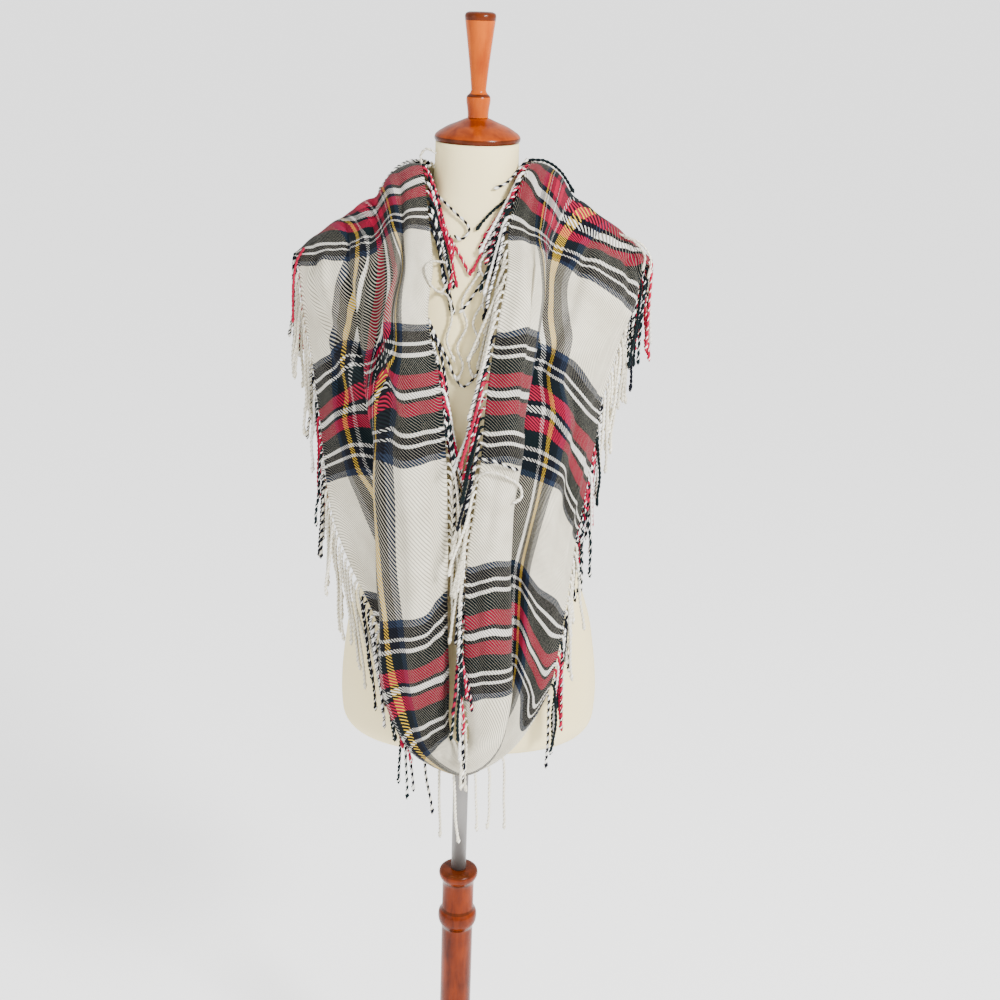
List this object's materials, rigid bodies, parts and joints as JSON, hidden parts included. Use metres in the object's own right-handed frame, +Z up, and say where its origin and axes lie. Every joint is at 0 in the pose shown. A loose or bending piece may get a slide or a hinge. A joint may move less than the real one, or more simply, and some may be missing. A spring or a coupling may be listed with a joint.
{
  "type": "infinity scarf on a dress form",
  "caption": "Fringed infinity scarf of checked twill worn as one long loop on a limbless dress form with a turned wooden stand.",
  "frame": {"origin": "on the floor at the centre of the stand's base", "axes": "+Z up, the front of the form faces -Y, +X to the viewer's right"},
  "size_m": [0.4355, 0.3359, 1.641],
  "materials": {
    "base_wood": "glossy orange-brown varnish",
    "post_wood": "glossy orange-brown varnish with dark rims",
    "pole_steel": "plain bright steel tube",
    "jersey": "stretched cream jersey",
    "cap_wood": "satin orange-brown varnish",
    "finial_wood": "glossy honey varnish with a dark rim",
    "twill": "soft brushed twill in cream, black, red, green, blue and yellow checks",
    "fringe_yarn": "twisted two-ply yarn in cream, black, red and green"
  },
  "bodies": {
    "root": {"base": "base_wood", "post": "post_wood", "pole": "pole_steel", "torso": "jersey", "neck_cap": "cap_wood", "finial": "finial_wood", "scarf_left_front": "twill", "scarf_bottom_turn": "twill", "scarf_right_front": "twill", "scarf_back_collar": "twill", "fringe_left_outer": "fringe_yarn", "fringe_bottom_outer": "fringe_yarn", "fringe_right_outer": "fringe_yarn", "fringe_back_outer": "fringe_yarn", "fringe_left_inner": "fringe_yarn", "fringe_right_inner": "fringe_yarn", "fringe_back_inner": "fringe_yarn"}
  },
  "joints": []
}
